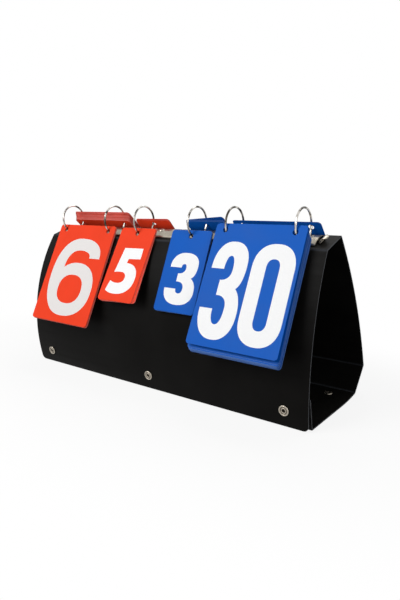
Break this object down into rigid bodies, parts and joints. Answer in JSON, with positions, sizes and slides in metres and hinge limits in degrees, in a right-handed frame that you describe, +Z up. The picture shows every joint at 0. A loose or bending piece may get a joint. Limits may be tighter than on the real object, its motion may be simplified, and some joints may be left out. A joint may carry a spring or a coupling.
{
  "type": "tabletop flip scoreboard",
  "caption": "Folded black sheet case that stands as a hollow ridge, with a ring mechanism along its top carrying red and blue numbered flip cards.",
  "frame": {"origin": "middle of the case's length on the underside of the base panel, the surface it stands on", "axes": "+X along the case to the viewer's right, -Y towards the front cards, +Z up"},
  "size_m": [0.385, 0.1747, 0.2037],
  "materials": {
    "case_sheet": "satin grained polypropylene sheet",
    "red_card": "semi-gloss printed plastic card",
    "blue_card": "semi-gloss printed plastic card",
    "ring_wire": "bright nickel plate",
    "mechanism_plate": "nickel-plated pressed steel",
    "press_stud": "antique nickel"
  },
  "bodies": {
    "base": {"base_panel": "case_sheet", "base_studs": "press_stud", "base_stud_posts": "press_stud"},
    "rear": {"rear_panel": "case_sheet"},
    "back": {"back_panel": "case_sheet"},
    "top": {"top_panel": "case_sheet", "mechanism_cover": "mechanism_plate", "mounting_rivets": "mechanism_plate", "rivet_washers": "mechanism_plate"},
    "front": {"front_panel": "case_sheet", "front_stud_caps": "press_stud", "front_stud_sockets": "press_stud"},
    "lip": {"closing_lip": "case_sheet", "lip_studs": "press_stud", "lip_stud_posts": "press_stud"},
    "front_leaf": {"front_blade": "mechanism_plate", "front_half_ring_1": "ring_wire", "front_half_ring_2": "ring_wire", "front_half_ring_3": "ring_wire", "front_half_ring_4": "ring_wire", "front_half_ring_5": "ring_wire", "front_half_ring_6": "ring_wire"},
    "back_leaf": {"back_blade": "mechanism_plate", "back_half_ring_1": "ring_wire", "back_half_ring_2": "ring_wire", "back_half_ring_3": "ring_wire", "back_half_ring_4": "ring_wire", "back_half_ring_5": "ring_wire", "back_half_ring_6": "ring_wire"},
    "left_lever": {"left_lever": "mechanism_plate"},
    "right_lever": {"right_lever": "mechanism_plate"},
    "red_score_card": {"red_score_card": "red_card"},
    "red_score_front_stack": {"red_score_front_stack": "red_card"},
    "red_score_back_stack": {"red_score_back_stack": "red_card"},
    "red_set_card": {"red_set_card": "red_card"},
    "red_set_front_stack": {"red_set_front_stack": "red_card"},
    "red_set_back_stack": {"red_set_back_stack": "red_card"},
    "blue_set_card": {"blue_set_card": "blue_card"},
    "blue_set_front_stack": {"blue_set_front_stack": "blue_card"},
    "blue_set_back_stack": {"blue_set_back_stack": "blue_card"},
    "blue_score_card": {"blue_score_card": "blue_card"},
    "blue_score_front_stack": {"blue_score_front_stack": "blue_card"},
    "blue_score_back_stack": {"blue_score_back_stack": "blue_card"}
  },
  "joints": [
    {"name": "case_fold", "type": "hinge", "parent": "base", "child": "rear", "pos_m": [0, 0.0529, 0.0034], "axis": [1, 0, 0], "range_deg": [-48.62, 0]},
    {"name": "heel_fold", "type": "hinge", "parent": "rear", "child": "back", "pos_m": [0, 0.0751, 0.0286], "axis": [1, 0, 0], "range_deg": [-70.49, 0]},
    {"name": "back_top_fold", "type": "hinge", "parent": "back", "child": "top", "pos_m": [0, -0.0047, 0.1749], "axis": [1, 0, 0], "range_deg": [-81.32, 0]},
    {"name": "front_top_fold", "type": "hinge", "parent": "top", "child": "front", "pos_m": [0, -0.0356, 0.164], "axis": [1, 0, 0], "range_deg": [-61.94, 0]},
    {"name": "lip_fold", "type": "hinge", "parent": "base", "child": "lip", "pos_m": [0, -0.0542, 0.0006], "axis": [1, 0, 0], "range_deg": [0, 71.65]},
    {"name": "rings_open", "type": "hinge", "parent": "top", "child": "front_leaf", "pos_m": [0, -0.02941, 0.16836], "axis": [1, 0, 0], "range_deg": [0, 4]},
    {"name": "back_rings_open", "type": "hinge", "parent": "top", "child": "back_leaf", "pos_m": [0, -0.01225, 0.17441], "axis": [-1, 0, 0], "range_deg": [0, 4.2]},
    {"name": "right_lever_press", "type": "hinge", "parent": "top", "child": "right_lever", "pos_m": [0.1834, -0.02072, 0.17105], "axis": [0, 0.943, 0.3327], "range_deg": [0, 18.3]},
    {"name": "left_lever_press", "type": "hinge", "parent": "top", "child": "left_lever", "pos_m": [-0.1834, -0.02072, 0.17105], "axis": [0, -0.943, -0.3327], "range_deg": [0, 18.3]},
    {"name": "red_score_front_swing", "type": "hinge", "parent": "top", "child": "red_score_front_stack", "pos_m": [0, -0.02561, 0.18492], "axis": [1, 0, 0], "range_deg": [-61.94, 0]},
    {"name": "red_score_back_swing", "type": "hinge", "parent": "top", "child": "red_score_back_stack", "pos_m": [0, -0.02561, 0.18492], "axis": [1, 0, 0], "range_deg": [0, 81.32]},
    {"name": "red_score_flip", "type": "hinge", "parent": "red_score_front_stack", "child": "red_score_card", "pos_m": [0, -0.02561, 0.18492], "axis": [-1, 0, 0], "range_deg": [0, 165]},
    {"name": "red_set_front_swing", "type": "hinge", "parent": "top", "child": "red_set_front_stack", "pos_m": [0, -0.02561, 0.18492], "axis": [1, 0, 0], "range_deg": [-61.94, 0]},
    {"name": "red_set_back_swing", "type": "hinge", "parent": "top", "child": "red_set_back_stack", "pos_m": [0, -0.02561, 0.18492], "axis": [1, 0, 0], "range_deg": [0, 81.32]},
    {"name": "red_set_flip", "type": "hinge", "parent": "red_set_front_stack", "child": "red_set_card", "pos_m": [0, -0.02561, 0.18492], "axis": [-1, 0, 0], "range_deg": [0, 165]},
    {"name": "blue_set_front_swing", "type": "hinge", "parent": "top", "child": "blue_set_front_stack", "pos_m": [0, -0.02561, 0.18492], "axis": [1, 0, 0], "range_deg": [-61.94, 0]},
    {"name": "blue_set_back_swing", "type": "hinge", "parent": "top", "child": "blue_set_back_stack", "pos_m": [0, -0.02561, 0.18492], "axis": [1, 0, 0], "range_deg": [0, 81.32]},
    {"name": "blue_set_flip", "type": "hinge", "parent": "blue_set_front_stack", "child": "blue_set_card", "pos_m": [0, -0.02561, 0.18492], "axis": [-1, 0, 0], "range_deg": [0, 165]},
    {"name": "blue_score_front_swing", "type": "hinge", "parent": "top", "child": "blue_score_front_stack", "pos_m": [0, -0.02561, 0.18492], "axis": [1, 0, 0], "range_deg": [-61.94, 0]},
    {"name": "blue_score_back_swing", "type": "hinge", "parent": "top", "child": "blue_score_back_stack", "pos_m": [0, -0.02561, 0.18492], "axis": [1, 0, 0], "range_deg": [0, 81.32]},
    {"name": "blue_score_flip", "type": "hinge", "parent": "blue_score_front_stack", "child": "blue_score_card", "pos_m": [0, -0.02561, 0.18492], "axis": [-1, 0, 0], "range_deg": [0, 165]}
  ],
  "couplings": [
    {"joint": "heel_fold", "follows": "case_fold", "ratio": 1.4395},
    {"joint": "back_top_fold", "follows": "case_fold", "ratio": 1.6622},
    {"joint": "front_top_fold", "follows": "case_fold", "ratio": 1.2636},
    {"joint": "lip_fold", "follows": "case_fold", "ratio": -1.4633},
    {"joint": "back_rings_open", "follows": "rings_open", "ratio": 1},
    {"joint": "right_lever_press", "follows": "rings_open", "ratio": 4.5},
    {"joint": "left_lever_press", "follows": "rings_open", "ratio": 4.5},
    {"joint": "red_score_front_swing", "follows": "case_fold", "ratio": 1.2636},
    {"joint": "red_score_back_swing", "follows": "case_fold", "ratio": -1.6622},
    {"joint": "red_set_front_swing", "follows": "case_fold", "ratio": 1.2636},
    {"joint": "red_set_back_swing", "follows": "case_fold", "ratio": -1.6622},
    {"joint": "blue_set_front_swing", "follows": "case_fold", "ratio": 1.2636},
    {"joint": "blue_set_back_swing", "follows": "case_fold", "ratio": -1.6622},
    {"joint": "blue_score_front_swing", "follows": "case_fold", "ratio": 1.2636},
    {"joint": "blue_score_back_swing", "follows": "case_fold", "ratio": -1.6622}
  ]
}
